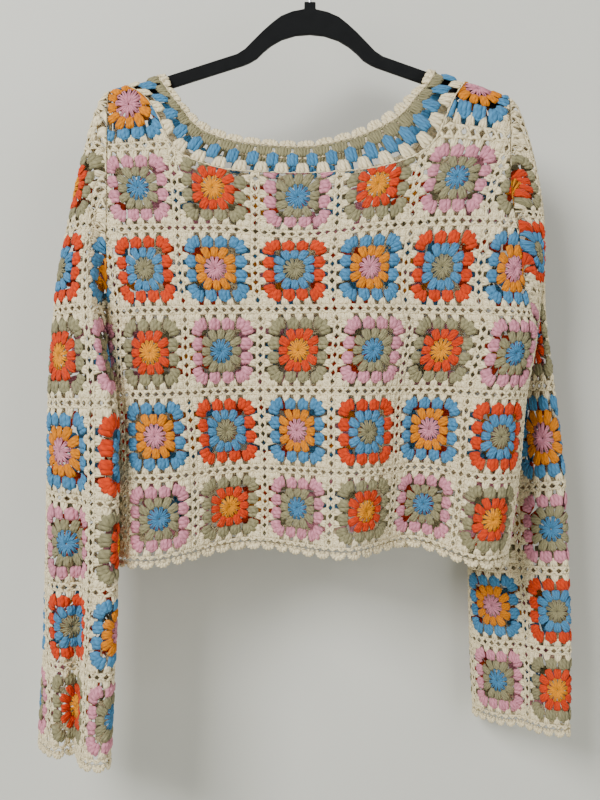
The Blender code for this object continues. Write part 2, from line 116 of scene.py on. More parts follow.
FOLD_COLUMNS = ("place", "push", "drop")
FRONT_FOLDS = (
    (0.00, 0.0, 9.0),
    (0.11, -1.0, 8.0),
    (0.36, 1.0, -6.0),
    (0.59, -0.8, -2.0),
    (0.75, 1.0, -8.0),
    (0.93, -0.9, 9.0),
    (1.00, 0.0, 8.0),
)
BACK_FOLDS = (
    (0.00, 0.0, 9.0),
    (0.14, 0.7, 6.0),
    (0.33, -0.8, -2.0),
    (0.52, 0.9, 3.0),
    (0.70, -0.7, -4.0),
    (0.88, 0.8, 5.0),
    (1.00, 0.0, 8.0),
)
NECK_COLUMNS = ("place", "row", "inner_x", "inner_z", "inner_y")
NECK = (
    (0.0380, -0.55, -165.3, -145.5, 0.35),
    (0.0400, -0.50, -163.5, -145.6, 4.6),
    (0.0480, -0.42, -159.4, -151.0, 8.5),
    (0.0780, -0.29, -149.7, -169.0, 13.0),
    (0.1230, -0.14, -134.5, -188.8, 17.0),
    (0.1970, 0.16, -112.1, -207.4, 19.0),
    (0.3240, 0.34, -69.5, -220.6, 20.0),
    (0.4820, 0.38, -11.4, -225.4, 20.0),
    (0.6170, 0.34, 41.1, -215.0, 20.0),
    (0.7650, 0.15, 83.7, -193.4, 19.0),
    (0.8430, -0.14, 106.4, -173.9, 16.0),
    (0.8790, -0.33, 121.5, -159.6, 12.0),
    (0.8900, -0.44, 130.0, -146.0, 8.5),
    (0.8935, -0.50, 132.2, -140.3, 4.6),
    (0.8950, -0.55, 133.4, -139.9, 0.35),
)
SLEEVE_COLUMNS = ("row", "outer_x", "outer_y", "outer_z", "inner_x", "inner_y", "inner_z",
                  "depth", "pleat")
LEFT_SLEEVE = (
    (0.0, -226.0, 0.0, -171.0, -226.0, 0.0, -436.0, 18.0, 0.0),
    (1.0, -268.0, 6.0, -282.0, -225.0, -36.0, -461.0, 24.0, 0.0),
    (2.0, -293.0, 14.0, -408.5, -214.0, -55.0, -499.0, 28.0, 3.0),
    (3.0, -301.5, 20.0, -515.0, -208.0, -60.0, -545.0, 30.0, 8.0),
    (4.0, -303.8, 22.0, -622.0, -207.5, -62.0, -626.0, 30.0, 14.0),
    (5.0, -305.6, 22.0, -724.0, -208.6, -62.0, -718.0, 30.0, 22.0),
    (6.0, -307.9, 22.0, -811.5, -211.8, -62.0, -808.0, 30.0, 28.0),
    (7.0, -313.0, 22.0, -904.0, -216.0, -62.0, -899.0, 30.0, 30.0),
)
RIGHT_SLEEVE = (
    (0.0, 224.0, 0.0, -177.0, 257.0, 0.0, -436.0, 18.0, 0.0),
    (1.0, 266.0, 10.0, -302.0, 263.0, 38.0, -462.0, 20.0, 0.0),
    (2.0, 272.0, 22.0, -402.0, 246.0, 84.0, -500.0, 20.0, 3.0),
    (3.0, 285.7, 30.0, -504.0, 228.0, 102.0, -545.0, 21.0, 7.0),
    (4.0, 299.5, 34.0, -613.0, 212.0, 106.0, -628.0, 22.0, 12.0),
    (5.0, 303.6, 34.0, -714.0, 202.0, 106.0, -722.0, 23.0, 14.0),
    (6.0, 306.0, 34.0, -808.0, 203.5, 104.0, -812.0, 24.0, 14.0),
    (7.0, 304.8, 34.0, -900.0, 207.0, 102.0, -900.0, 24.0, 14.0),
)

# columns of squares at the left and right edge of the front, and round the back, by row
SPAN_COLUMNS = ("row", "first", "last")
FRONT_SPAN = (
    (-0.55, 0.845, 5.290),
    (0.00, 0.700, 5.500),
    (0.50, 0.590, 5.692),
    (1.50, 0.423, 6.144),
    (2.50, 0.105, 6.570),
    (3.50, -0.036, 6.692),
    (4.50, -0.123, 6.719),
)
BACK_SPAN = (
    (-0.55, 6.710, 11.155),
    (0.00, 6.760, 11.500),
    (0.50, 6.800, 11.860),
    (1.50, 6.650, 12.050),
    (2.50, 6.570, 12.105),
    (3.50, 6.692, 11.964),
    (4.50, 6.719, 11.877),
)
FRONT_COLUMNS = range(0, 8)
BACK_COLUMNS = range(6, 13)
# how far the first row of squares hangs down below the neck band, in rows
SAG_COLUMNS = ("place", "rows")
SAG = ((0.0, 0.02), (0.10, 0.02), (0.27, 0.04), (0.47, 0.16), (0.67, 0.0), (0.86, -0.11),
       (1.0, -0.11))
SAG_ROW = 0.5
SAG_REACH = 1.3
# where the first column of squares is centred on a sleeve, and how wide a square is, both
# as shares of the way round
PLAN_COLUMNS = ("row", "centre", "pitch")
LEFT_PLAN = (
    (0.5, 0.000, 0.40),
    (1.5, 0.050, 0.42),
    (2.5, 0.155, 0.42),
    (3.5, 0.190, 0.38),
    (4.5, 0.222, 0.34),
    (5.5, 0.240, 0.30),
    (6.5, 0.275, 0.25),
)
RIGHT_PLAN = (
    (0.5, 0.240, 0.42),
    (1.5, 0.220, 0.40),
    (2.5, 0.165, 0.36),
    (3.5, 0.110, 0.35),
    (4.5, 0.090, 0.33),
    (5.5, 0.075, 0.29),
    (6.5, 0.078, 0.27),
)
# how far below the hook the level rows of squares begin, from one row above the first
LEFT_LEVELS = (140.0, 228.0, 320.4, 414.4, 518.5, 625.7)
RIGHT_LEVELS = (150.0, 232.0, 305.0, 390.0, 498.0, 611.7)
DEEPEST_LEVEL = 0.70
# rows of the folded shoulder squares' centres, and rows to a square above and below them
LEFT_SHOULDER = (-0.23, 1.0, 0.46)
RIGHT_SHOULDER = (-0.38, 1.0, 0.76)
SHOULDER_SPLIT = 3          # the last column of the left shoulder
NUDGED_COLUMN = 2.0         # a column of the front that hangs a little to the left
NUDGE = 0.06
NUDGE_WIDTH = 0.6
NUDGE_END = 2.8             # row below which it hangs straight

# roles of a stitch within its square
CENTRE, MIDDLE, OUTER, BORDER = range(4)
YARNS = ("cream", "pink", "sage", "blue", "red", "mustard", "orange")
# yarn of the centre, the petals, the clusters and the border of each kind of square
KINDS = {
    "A": ("blue", "sage", "pink", "cream"),
    "B": ("orange", "red", "sage", "cream"),
    "C": ("sage", "blue", "red", "cream"),
    "D": ("pink", "mustard", "blue", "cream"),
    "plain": ("cream", "cream", "cream", "cream"),
}
CYCLE = "ACBD"
SPOKES = 12                 # spokes and petals of a square
PETAL_FOOT = 0.140          # shares of the square's side from its middle
PETAL_CIRCLE = 0.275        # the petals' heads lie between a circle and a square
PETAL_SQUARE = 0.262
PETAL_SQUARENESS = 0.75
JOINS = 9                   # crosses along each side of a square

# a stitch's tube: share of its length and of its thickness, ring by ring
FULL_TUBE = ((0.0, 0.60), (0.22, 1.00), (0.78, 1.00), (1.0, 0.62))
SLIM_TUBE = ((0.0, 0.78), (0.5, 1.00), (1.0, 0.78))
FULL_SIDES = 5
SLIM_SIDES = 4

PROUD = 0.0005              # how far a cluster's middle stands above its sides
BAND_ROLES = (0, 1, 2)
BAND_YARNS = ("cream", "blue", "sage")
BAND_DEPTH = 1.95           # the neck band's depth in repeats
SHELL_DEPTH = 0.70          # the edging's depth in shells
SEED = 11
CAMERA_ASIDE = -0.0114
CAMERA_HEIGHT = -0.515


def linear(red, green, blue):
    """Turn a screen colour of 0 to 255 into the linear one that a shader takes."""
    shares = [value / 255.0 for value in (red, green, blue)]
    return tuple(s / 12.92 if s <= 0.04045 else ((s + 0.055) / 1.055) ** 2.4 for s in shares)


def table(columns, rows):
    """Return the table's columns by name, as arrays."""
    values = np.array(rows, dtype=float)
    return {name: values[:, i] for i, name in enumerate(columns)}


def through(places, values, at):
    """Read a smooth curve through a table's values, with no swing past any of them."""
    secants = np.diff(values) / np.diff(places)
    product = secants[:-1] * secants[1:]
    total = np.where(product > 0, secants[:-1] + secants[1:], 1.0)
    inner = np.where(product > 0, 2.0 * product / total, 0.0)
    slopes = np.concatenate((secants[:1], inner, secants[-1:]))
    at = np.clip(at, places[0], places[-1])
    i = np.clip(np.searchsorted(places, at, side="right") - 1, 0, len(places) - 2)
    step = places[i + 1] - places[i]
    t = (at - places[i]) / step
    rise = values[i + 1] - values[i]
    start = slopes[i] * step
    end = slopes[i + 1] * step
    return values[i] + t * start + t * t * (3 * rise - 2 * start - end) \
        + t ** 3 * (start + end - 2 * rise)


def smooth_step(t):
    t = np.clip(t, 0.0, 1.0)
    return t * t * (3.0 - 2.0 * t)


def run_along(points):
    """How far along a line each of its points lies."""
    lengths = np.linalg.norm(np.diff(points, axis=0), axis=1)
    return np.concatenate(([0.0], np.cumsum(lengths)))


def read_line(at, places, points):
    """Points read from a line at some places along it."""
    return np.stack([np.interp(at, places, points[:, k]) for k in range(3)], axis=1)


def even_along(points, count):
    """Space points evenly along a line given by many points."""
    along = run_along(points)
    return read_line(np.linspace(0.0, along[-1], count), along, points)


def at_row(columns, row):
    """Every column of a table at one row, as plain numbers."""
    return {name: float(through(columns["row"], values, np.array([row]))[0])
            for name, values in columns.items()}


class Lattice:
    """A surface read from a fine net of points, at any row and any place across."""

    def __init__(self, rows, points):
        self.rows = rows
        self.points = points

    def at(self, row, place):
        row, place = np.broadcast_arrays(np.asarray(row, float), np.asarray(place, float))
        high = self.points.shape[0] - 1
        wide = self.points.shape[1] - 1
        down = np.clip(np.interp(row, self.rows, np.arange(high + 1)), 0, high - 1e-9)
        over = np.clip(place, 0.0, 1.0) * wide
        i = np.minimum(down.astype(int), high - 1)
        j = np.minimum(over.astype(int), wide - 1)
        a = (down - i)[..., None]
        b = (over - j)[..., None]
        net = self.points
        upper = net[i, j] * (1 - b) + net[i, j + 1] * b
        lower = net[i + 1, j] * (1 - b) + net[i + 1, j + 1] * b
        return upper * (1 - a) + lower * a


class Cloth(Lattice):
    """A lattice that also knows its outward side, 1 or -1 times down across over."""

    def __init__(self, rows, points, outward):
        super().__init__(rows, points)
        down = np.gradient(points, axis=0)
        over = np.gradient(points, axis=1)
        side = np.cross(down, over) * outward
        side /= np.maximum(np.linalg.norm(side, axis=2), 1e-12)[..., None]
        self.sides = Lattice(rows, side)

    def lifted(self, row, place, height):
        return self.at(row, place) + self.sides.at(row, place) * height[..., None]


def body_lattice(facing):
    """Shape the front (facing -1) or the back (facing 1), place running left to right."""
    body = table(BODY_COLUMNS, BODY)
    folds = table(FOLD_COLUMNS, FRONT_FOLDS if facing < 0 else BACK_FOLDS)
    bulge = "front" if facing < 0 else "back"
    turn = np.linspace(0.0, math.pi, LATTICE_STEPS)
    across = (1.0 - np.cos(turn)) / 2.0
    push = through(folds["place"], folds["push"], across)
    drop = through(folds["place"], folds["drop"], across)
    rows = np.linspace(SHOULDER_ROW, HEM_ROW, LATTICE_STEPS)
    net = []
    for row in rows:
        value = at_row(body, row)
        x = value["left"] + (value["right"] - value["left"]) * across
        y = facing * (value["side"] + value[bulge] * np.sin(turn) ** value["edge"])
        y = y + value["folds"] * push
        slope = ARM_SLOPE * (np.abs(x) - SLOPE_FROM) + HANGER_TILT * x
        hang = np.clip(row / HEM_ROW, 0.0, 1.0) ** 2
        z = value["height"] - value["slope"] * slope - hang * drop
        net.append(even_along(np.stack([x, y, z], axis=1) * MM, LATTICE_STEPS))
    return Cloth(rows, np.array(net), -facing)


def neck_row(place):
    """Row at which the neck band is sewn on, at a place across the cloth."""
    neck = table(NECK_COLUMNS, NECK)
    place = np.asarray(place, float)
    inside = (place > neck["place"][0]) & (place < neck["place"][-1])
    return np.where(inside, through(neck["place"], neck["row"], place), SHOULDER_ROW)


def armhole(front, back, side):
    """Points round an armhole and the way on from them, from the shoulder by the front."""
    rows = np.linspace(SHOULDER_ROW, UNDERARM_ROW, LATTICE_STEPS)
    edge = 0.0 if side < 0 else 1.0
    inward = abs(edge - NEAR_EDGE)
    rings = []
    for panel, order in ((front, 1), (back, -1)):
        points = panel.at(rows, edge)
        way = points - panel.at(rows, inward)
        way /= np.linalg.norm(way, axis=1)[:, None]
        rings.append((points[::order], way[::order]))
    points = np.concatenate([rings[0][0], rings[1][0]])
    ways = np.concatenate([rings[0][1], rings[1][1]])
    along = run_along(points)
    return along / along[-1], points, ways


def tube_ring(sleeve, row):
    """One ring of a hanging sleeve, from its outer line by the front and back again."""
    value = at_row(sleeve, row)
    turn = np.linspace(0.0, 2.0 * math.pi, 2 * LATTICE_STEPS)
    share = (1.0 - np.cos(turn)) / 2.0
    outer = np.array([value["outer_x"], value["outer_y"], value["outer_z"]])
    inner = np.array([value["inner_x"], value["inner_y"], value["inner_z"]])
    points = outer + (inner - outer) * share[:, None]
    half = np.abs(np.sin(turn)) ** TUBE_FULLNESS * np.sign(np.sin(turn))
    groove = np.exp(-((share - PLEAT_PLACE) / PLEAT_WIDTH) ** 2)
    front_side = np.sin(turn) > 0
    pleat = np.where(front_side, value["pleat"] * groove, 0.0)
    points[:, 1] += -value["depth"] * half + pleat
    return even_along(points * MM, 2 * LATTICE_STEPS)


def sleeve_lattice(rows_table, front, back, side):
    """Shape a sleeve from its armhole to its cuff, place running once round it."""
    sleeve = table(SLEEVE_COLUMNS, rows_table)
    along, points, ways = armhole(front, back, side)
    around = np.linspace(0.0, 1.0, 2 * LATTICE_STEPS)
    start = read_line(around, along, points)
    way = read_line(around, along, ways)
    start[-1] = start[0] = (start[0] + start[-1]) / 2.0
    way[-1] = way[0] = (way[0] + way[-1]) / 2.0
    rows = np.linspace(0.0, SLEEVE_ROWS, LATTICE_STEPS)
    net = []
    for row in rows:
        reach = SEWN + SLEEVE_REACH * row
        turned = smooth_step(row / ARMHOLE_BLEND)
        net.append((start + way * reach) * (1 - turned) + tube_ring(sleeve, row) * turned)
    return Cloth(rows, np.array(net), -side)


def band_lattice(panel, facing):
    """Half the neck band: place runs along it, the row from its sewn to its free edge."""
    neck = table(NECK_COLUMNS, NECK)
    dense = np.linspace(0.0, 1.0, LATTICE_STEPS)
    index = np.arange(len(neck["place"])) / (len(neck["place"]) - 1.0)
    dense = np.unique(np.concatenate((dense, index)).round(9))
    place = through(index, neck["place"], dense)
    sewn = panel.at(neck_row(place), place)
    free = np.stack([through(index, neck["inner_x"], dense),
                     facing * through(index, neck["inner_y"], dense),
                     through(index, neck["inner_z"], dense)], axis=1) * MM
    run = run_along((sewn + free) / 2.0)
    run /= run[-1]
    even = np.linspace(0.0, 1.0, LATTICE_STEPS)
    sewn = read_line(even, run, sewn)
    free = read_line(even, run, free)
    shares = np.linspace(0.0, 1.0, BAND_LINES)
    net = sewn[None] + (free - sewn)[None] * shares[:, None, None]
    return Cloth(shares, net, facing)


def edging_lattice(line, outward):
    """A strip that hangs from a line of points along the edge of the cloth."""
    top = line.copy()
    top[:, 2] -= EDGING_GAP
    foot = top.copy()
    foot[:, 2] -= EDGING
    net = np.stack([top, (top + foot) / 2.0, foot])
    return Cloth(np.array([0.0, 0.5, 1.0]), net, outward)


class Drape:
    """The hanging shape of every piece, worked out once for all operators."""

    shapes = {}

    @classmethod
    def shape(cls, name):
        if not cls.shapes:
            front = body_lattice(-1)
            back = body_lattice(1)
            left = sleeve_lattice(LEFT_SLEEVE, front, back, -1)
            right = sleeve_lattice(RIGHT_SLEEVE, front, back, 1)
            across = np.linspace(0.0, 1.0, LATTICE_STEPS)
            hem = np.concatenate((front.at(HEM_ROW, across), back.at(HEM_ROW, across[::-1])))
            cls.shapes = {
                "front": front,
                "back": back,
                "sleeve_left": left,
                "sleeve_right": right,
                "band_front": band_lattice(front, -1),
                "band_back": band_lattice(back, 1),
                "hem": edging_lattice(hem, 1),
                "cuff_left": edging_lattice(left.at(SLEEVE_ROWS, across), 1),
                "cuff_right": edging_lattice(right.at(SLEEVE_ROWS, across), -1),
            }
        return cls.shapes[name]


def deselect_all():
    for thing in bpy.context.view_layer.objects:
        thing.select_set(False)
    bpy.context.view_layer.objects.active = None


class Tube:
    """One stitch's tube along +Z, a unit long and thick, modelled once and then bent."""

    def __init__(self, sides, rings):
        deselect_all()
        bpy.ops.mesh.primitive_circle_add(vertices=sides, radius=rings[0][1],
                                          fill_type="NGON")
        thing = bpy.context.object
        bpy.ops.object.mode_set(mode="EDIT")
        bpy.ops.mesh.select_all(action="SELECT")
        for before, after in zip(rings, rings[1:]):
            rise = (0.0, 0.0, after[0] - before[0])
            bpy.ops.mesh.extrude_region_move(TRANSFORM_OT_translate={"value": rise})
            wider = after[1] / before[1]
            bpy.ops.transform.resize(value=(wider, wider, 1.0),
                                     center_override=(0.0, 0.0, after[0]))
        bpy.ops.mesh.select_all(action="SELECT")
        bpy.ops.mesh.normals_make_consistent(inside=False)
        bpy.ops.object.mode_set(mode="OBJECT")
        mesh = thing.data
        points = np.array([vert.co for vert in mesh.vertices])
        self.across, self.up, self.along = points.T
        self.faces = [list(face.vertices) for face in mesh.polygons]
        self.sizes = np.array([len(face) for face in self.faces])
        self.loops = np.concatenate([np.array(face) for face in self.faces])
        turn = np.arctan2(self.up, self.across) / (2.0 * math.pi) % 1.0
        turns = []
        for face in self.faces:
            round_it = turn[face]
            if round_it.max() - round_it.min() > 0.5 and len(face) == 4:
                round_it = np.where(round_it < 0.5, round_it + 1.0, round_it)
            turns.append(round_it)
        self.loop_turn = np.concatenate(turns)
        self.loop_along = self.along[self.loops]
        bpy.data.objects.remove(thing)
        bpy.data.meshes.remove(mesh)


def stitch(points, heights, size, role):
    """One stitch: three points flat, their heights, half its width and depth, its role."""
    flat = [(*point, height) for point, height in zip(points, heights)]
    return [*flat[0], *flat[1], *flat[2], *size, role]


def chain(x, half, depths, heights, size, role):
    """One stitch lying across, its ends at one depth and height and its middle at another."""
    points = [(x - half, depths[0]), (x, depths[1]), (x + half, depths[0])]
    return stitch(points, (heights[0], heights[1], heights[0]), size, role)


def cluster(foot, head, spread, size, heights, role, count=3):
    """Stitches side by side, fanned at the middle, the middle ones a little proud."""
    foot = np.array(foot)
    head = np.array(head)
    way = (head - foot) / np.linalg.norm(head - foot)
    side = np.array([-way[1], way[0]])
    made = []
    for share in np.linspace(-1.0, 1.0, count):
        points = [foot + side * spread[0] * share,
                  (foot + head) / 2.0 + side * spread[1] * share,
                  head + side * spread[2] * share]
        sunk = PROUD * abs(share)
        made.append(stitch(points, [height - sunk for height in heights], size, role))
    return made


def turned(stitches, angle):
    """Turn flat stitches about the middle of their square."""
    made = np.array(stitches, dtype=float)
    cosine, sine = math.cos(angle), math.sin(angle)
    for k in (0, 3, 6):
        x = made[:, k].copy()
        y = made[:, k + 1].copy()
        made[:, k] = x * cosine - y * sine
        made[:, k + 1] = x * sine + y * cosine
    return made


def square_colours():
    """The coloured rounds of a square: spokes, petals and clusters, by kind of tube."""
    full = []
    slim = []
    step = 2.0 * math.pi / SPOKES
    for k in range(SPOKES):
        spokes = [
            stitch([(0.004 * s, -0.010), (0.008 * s, -0.072), (0.0135 * s, -0.142)],
                   (0.0010, 0.0017, 0.0009), (0.0140, 0.0011), CENTRE)
            for s in (-1.0, 1.0)
        ]
        slim.append(turned(spokes, (k + 0.5) * step))
        link = [chain(0.0, 0.040, (-0.142, -0.152), (0.0004, -0.0002), (0.012, 0.0009),
                      CENTRE)]
        slim.append(turned(link, k * step))
    for k in range(SPOKES):
        angle = k * step
        way = np.array([math.sin(angle), -math.cos(angle)])
        reach = PETAL_SQUARE / max(abs(math.cos(angle)), abs(math.sin(angle)))
        foot = way * PETAL_FOOT
        head = way * ((1.0 - PETAL_SQUARENESS) * PETAL_CIRCLE + PETAL_SQUARENESS * reach)
        full.append(cluster(foot, head, (0.012, 0.029, 0.025), (0.0255, 0.0015),
                            (0.0002, 0.0016, 0.0004), MIDDLE))
    for quarter in range(4):
        angle = quarter * math.pi / 2.0
        for x, lean in ((-0.272, -0.022), (-0.090, 0.0), (0.090, 0.0), (0.272, 0.022)):
            bunch = cluster((x - lean, -0.258), (x + lean, -0.392), (0.030, 0.047, 0.038),
                            (0.0370, 0.0017), (0.0000, 0.0016, 0.0003), OUTER)
            full.append(turned(bunch, angle))
            cap = [chain(x + lean, 0.056, (-0.374, -0.396), (0.0, 0.0008),
                         (0.0150, 0.0010), OUTER)]
            slim.append(turned(cap, angle))
    return np.concatenate(full), np.concatenate(slim)


def square_border():
    """The cream rounds of a square: fans between the clusters and the joining crosses."""
    slim = []
    for quarter in range(4):
        angle = quarter * math.pi / 2.0
        made = []
        for x, lean in ((-0.395, -0.012), (-0.312, -0.012), (-0.155, 0.0), (0.0, 0.0),
                        (0.155, 0.0), (0.312, 0.012), (0.395, 0.012)):
            made += cluster((x, -0.345), (x + lean, -0.458), (0.010, 0.021, 0.040),
                            (0.0235, 0.0013), (-0.0002, 0.0012, 0.0002), BORDER)
        for x in np.linspace(-0.41, 0.41, 6):
            made.append(chain(x, 0.084, (-0.455, -0.462), (0.0004, 0.0009),
                              (0.0165, 0.0011), BORDER))
        for k in range(JOINS):
            x = (k - (JOINS - 1) / 2.0) / JOINS
            for s in (-1.0, 1.0):
                made.append(stitch([(x + 0.046 * s, -0.460), (x + 0.020 * s, -0.478),
                                    (x - 0.012 * s, -0.504)],
                                   (0.0004, 0.0010, 0.0006 + 0.0005 * s),
                                   (0.0172, 0.0011), BORDER))
        slim.append(turned(made, angle))
    return np.zeros((0, 12)), np.concatenate(slim)


def kind_of(column, row):
    """Which kind of square lies at a column and a row."""
    return CYCLE[(row - 1 + (0 if column % 2 else 2)) % 4]


def panel_squares(columns):
    """Column, row, centre down, height and kind of each square on the front or back."""
    squares = []
    for column in columns:
        for row in range(0, int(HEM_ROW) + 1):
            centre, *heights = (row - 0.5, 1.0, 1.0)
            if not row:
                centre, *heights = LEFT_SHOULDER if column <= SHOULDER_SPLIT else RIGHT_SHOULDER
            squares.append((column, centre, heights, kind_of(column, row)))
    return squares


def sleeve_squares():
    """The squares of a sleeve: a plain row at the shoulder, a row of one kind, the rest."""
    squares = []
    for column in SLEEVE_COLUMNS_LAID:
        for row in range(0, int(SLEEVE_ROWS) + 1):
            kind = kind_of(column + 1, row) if row > 1 else ("plain", "B")[row]
            squares.append((column, row - 0.5, (1.0, 1.0), kind))
    return squares


def panel_spot(span, mirrored):
    """Turn a column and a row into a row and a place on the front or the back."""
    ends = table(SPAN_COLUMNS, span)
    sag = table(SAG_COLUMNS, SAG)

    def spot(column, row):
        if not mirrored:
            near = np.exp(-((column - NUDGED_COLUMN) / NUDGE_WIDTH) ** 2)
            column = column - NUDGE * near * (1.0 - smooth_step(row - NUDGE_END))
        first = through(ends["row"], ends["first"], row)
        last = through(ends["row"], ends["last"], row)
        place = (column - first) / (last - first)
        if mirrored:
            place = 1.0 - place
        inside = (place > 0.0) & (place < 1.0) & (row > SHOULDER_ROW) & (row < HEM_ROW)
        place = np.clip(place, 0.0, 1.0)
        near = 1.0 - smooth_step(np.abs(row - SAG_ROW) / SAG_REACH)
        row = row + near * through(sag["place"], sag["rows"], place)
        neck = neck_row(place)
        return np.clip(row, neck, HEM_ROW), place, inside & (row > neck)

    return spot


def sleeve_spot(shape, plan_rows, levels):
    """Turn a column and a row into a row and a place round a sleeve.

    The upper rows of squares lie level, and the armhole cuts across them.
    """
    plan = table(PLAN_COLUMNS, plan_rows)
    falls = np.linspace(0.0, DEEPEST_LEVEL, LATTICE_STEPS)
    lines = [np.interp(falls, np.maximum.accumulate(-line), shape.rows)
             for line in shape.points[:, :, 2].T]
    level_rows = Lattice(falls, np.array(lines).T[..., None])
    begins = np.arange(len(levels)) - 1.0
    levels = np.array(levels) * MM

    def spot(column, row):
        centre = through(plan["row"], plan["centre"], row)
        pitch = through(plan["row"], plan["pitch"], row)
        place = centre + column * pitch
        inside = (place > SLEEVE_SEAM - 1.0) & (place < SLEEVE_SEAM) & (row < SLEEVE_ROWS)
        place = np.clip(place, SLEEVE_SEAM - 1.0, SLEEVE_SEAM) % 1.0
        level = level_rows.at(np.interp(row, begins, levels), place)[..., 0]
        share = smooth_step(row - LEVEL_ROWS)
        down = level * (1.0 - share) + row * share
        return np.clip(down, 0.0, SLEEVE_ROWS), place, inside & (down > 0.0)

    return spot


def repeat_spot(repeats, depth, closed):
    """Turn repeats along an edge and a depth into a row and a place on its strip."""
    def spot(column, row):
        place = column / repeats
        place = place % 1.0 if closed else np.clip(place, 0.0, 1.0)
        return np.clip(row / depth, 0.0, 1.0), place, np.ones_like(place, dtype=bool)

    return spot


def bend(stitches, tube):
    """Bend the tube along every stitch; flat place and height of each of its points."""
    t = tube.along[None, :, None]
    start = stitches[:, None, 0:3]
    middle = stitches[:, None, 3:6]
    end = stitches[:, None, 6:9]
    centre = start * (1 - t) * (1 - 2 * t) + middle * 4 * t * (1 - t) + end * t * (2 * t - 1)
    way = start * (4 * t - 3) + middle * (4 - 8 * t) + end * (4 * t - 1)
    across = np.stack([-way[..., 1], way[..., 0]], axis=-1)
    across /= np.maximum(np.linalg.norm(across, axis=-1), 1e-9)[..., None]
    width = stitches[:, None, 9:10] * tube.across[None, :, None]
    height = centre[..., 2] + stitches[:, None, 10] * tube.up[None, :]
    return centre[..., :2] + across * width, height


def loosened(stitches, amount, dice):
    """Move every stitch a little, as hand work does."""
    made = stitches.copy()
    shift = dice.uniform(-amount, amount, (len(made), 2))
    for k in (0, 3, 6):
        made[:, k:k + 2] += shift
    made[:, 9] *= dice.uniform(0.90, 1.08, len(made))
    return made


class Work:
    """A piece of crochet in the making: points, faces, yarns and maps of its stitches."""

    def __init__(self, cloth, spot, unit):
        self.cloth = cloth
        self.spot = spot
        self.unit = unit
        self.parts = []
        self.dice = np.random.default_rng(SEED)

    def place(self, centre, heights, x, y):
        """Row and place of flat points round a centre (column, row)."""
        down = y * np.where(y < 0.0, heights[0], heights[1])
        return self.spot(centre[0] + x, centre[1] + down)

    def add(self, stitches, tube, centre, yarns, loose, heights=(1.0, 1.0)):
        """Lay stitches round a centre (column, row); yarns gives each role's yarn."""
        if not len(stitches):
            return
        stitches = loosened(stitches, loose, self.dice)
        inside = [self.place(centre, heights, stitches[:, k], stitches[:, k + 1])[2]
                  for k in (0, 3, 6)]
        stitches = stitches[np.any(inside, axis=0)]
        if not len(stitches):
            return
        flat, lift = bend(stitches, tube)
        row, place, _ = self.place(centre, heights, flat[..., 0], flat[..., 1])
        points = self.cloth.lifted(row, place, lift)
        lengths = np.linalg.norm(stitches[:, 6:8] - stitches[:, 0:2], axis=1) * self.unit
        yarn = np.array([YARNS.index(name) for name in yarns])[stitches[:, 11].astype(int)]
        self.parts.append((tube, points, lengths, yarn))

    def mesh(self, name):
        """Join all the stitches into one mesh, with their maps."""
        groups = {}
        for tube, points, lengths, yarn in self.parts:
            groups.setdefault(id(tube), [tube, [], [], []])
            for kept, new in zip(groups[id(tube)][1:], (points, lengths, yarn)):
                kept.append(new)
        verts, loops, sizes, yarns, tones, strand, atlas = ([] for _ in range(7))
        count = 0
        total = sum(len(part[2]) for part in self.parts)
        wide = math.ceil(math.sqrt(total))
        cell = 0
        for tube, points, lengths, yarn in groups.values():
            points = np.concatenate(points)
            lengths = np.concatenate(lengths)
            yarn = np.concatenate(yarn)
            number, each = points.shape[:2]
            verts.append(points.reshape(-1, 3))
            first = count + np.arange(number) * each
            loops.append((first[:, None] + tube.loops[None, :]).reshape(-1))
            sizes.append(np.tile(tube.sizes, number))
            yarns.append(np.repeat(yarn, len(tube.sizes)))
            tones.append(np.repeat(self.dice.uniform(0.0, 1.0, number), each))
            start = self.dice.uniform(0.0, 1.0, number)
            along = start[:, None] + lengths[:, None] * tube.loop_along[None, :]
            around = np.broadcast_to(tube.loop_turn, along.shape)
            strand.append(np.stack([along, around], axis=-1).reshape(-1, 2))
            index = cell + np.arange(number)
            inner = 0.1 + 0.8 * np.stack([tube.loop_along, tube.loop_turn / 1.25], axis=-1)
            corner = np.stack([index % wide, index // wide], axis=-1)
            atlas.append(((corner[:, None] + inner[None]) / wide).reshape(-1, 2))
            cell += number
            count += number * each
        verts = np.concatenate(verts)
        loops = np.concatenate(loops)
        sizes = np.concatenate(sizes)
        mesh = bpy.data.meshes.new(name)
        mesh.vertices.add(len(verts))
        mesh.vertices.foreach_set("co", verts.astype(np.float32).reshape(-1))
        mesh.loops.add(len(loops))
        mesh.loops.foreach_set("vertex_index", loops.astype(np.int32))
        mesh.polygons.add(len(sizes))
        starts = np.concatenate(([0], np.cumsum(sizes)[:-1]))
        mesh.polygons.foreach_set("loop_start", starts.astype(np.int32))
        mesh.polygons.foreach_set("material_index", np.concatenate(yarns).astype(np.int32))
        mesh.update(calc_edges=True)
        mesh.shade_smooth()
        for label, values in (("strand", strand), ("OFBake", atlas)):
            layer = mesh.uv_layers.new(name=label)
            layer.data.foreach_set("uv", np.concatenate(values).astype(np.float32).reshape(-1))
        tone = mesh.attributes.new("tone", "FLOAT", "POINT")
        tone.data.foreach_set("value", np.concatenate(tones).astype(np.float32))
        return mesh


def finished(name, work):
    """Make the joined stitches an object in the scene, in their yarns."""
    mesh = work.mesh(name)
    for yarn in YARNS:
        mesh.materials.append(yarn_material(yarn))
    thing = bpy.data.objects.new(name, mesh)
    bpy.context.scene.collection.objects.link(thing)
    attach(thing, "root")
    return thing


def tubes():
    """The two tubes that every stitch is bent from."""
    return Tube(FULL_SIDES, FULL_TUBE), Tube(SLIM_SIDES, SLIM_TUBE)


